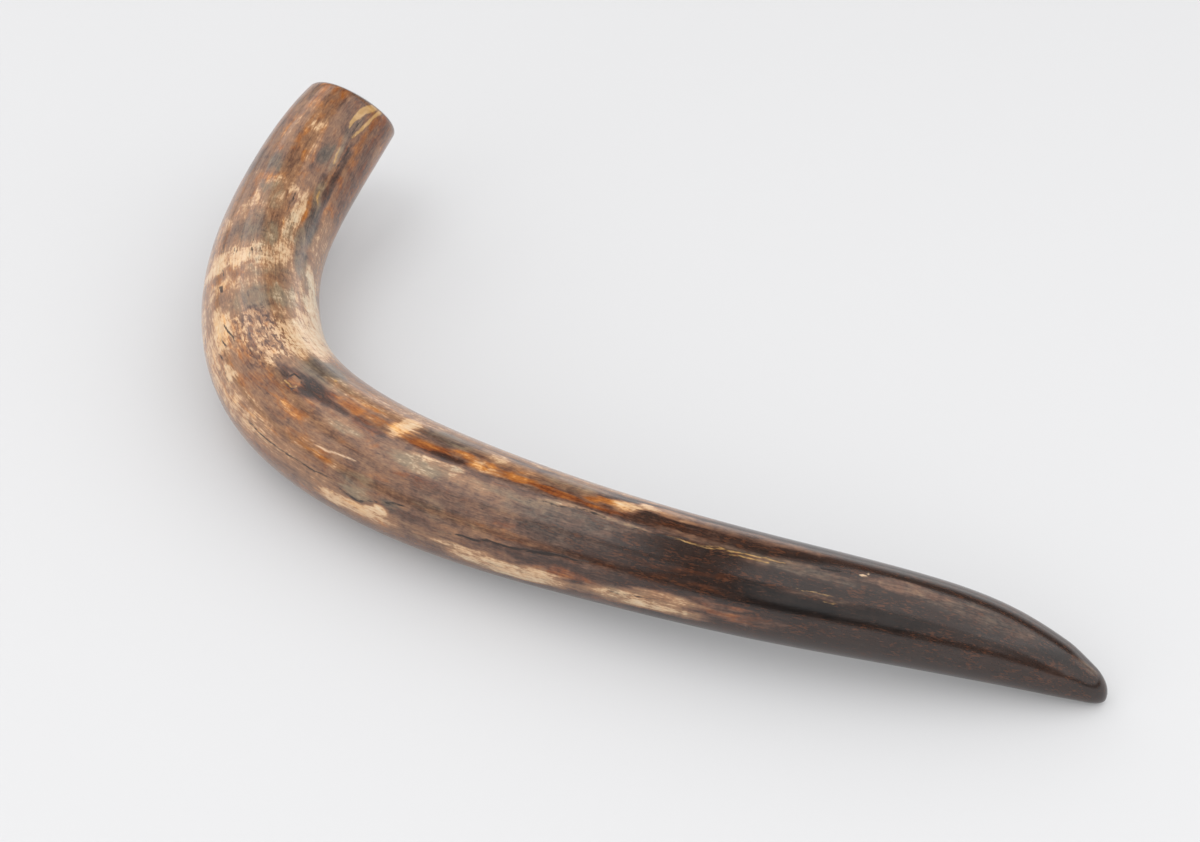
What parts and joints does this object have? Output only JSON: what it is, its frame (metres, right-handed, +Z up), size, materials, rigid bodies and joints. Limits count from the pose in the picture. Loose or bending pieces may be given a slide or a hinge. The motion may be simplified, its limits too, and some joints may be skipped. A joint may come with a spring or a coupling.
{
  "type": "mammoth tusk",
  "caption": "Polished old ivory tusk that bends in a wide open curve, sawn flat at its thick end and worn blunt at its tip, lying on its side.",
  "frame": {"origin": "under the middle of the box around the tusk, at the height of the table that it lies on", "axes": "+X along the long limb towards the tip, +Y towards the sawn end, +Z up"},
  "size_m": [0.7744, 0.4102, 0.125],
  "materials": {
    "ivory": "gloss"
  },
  "bodies": {
    "root": {"tusk": "ivory"}
  },
  "joints": []
}
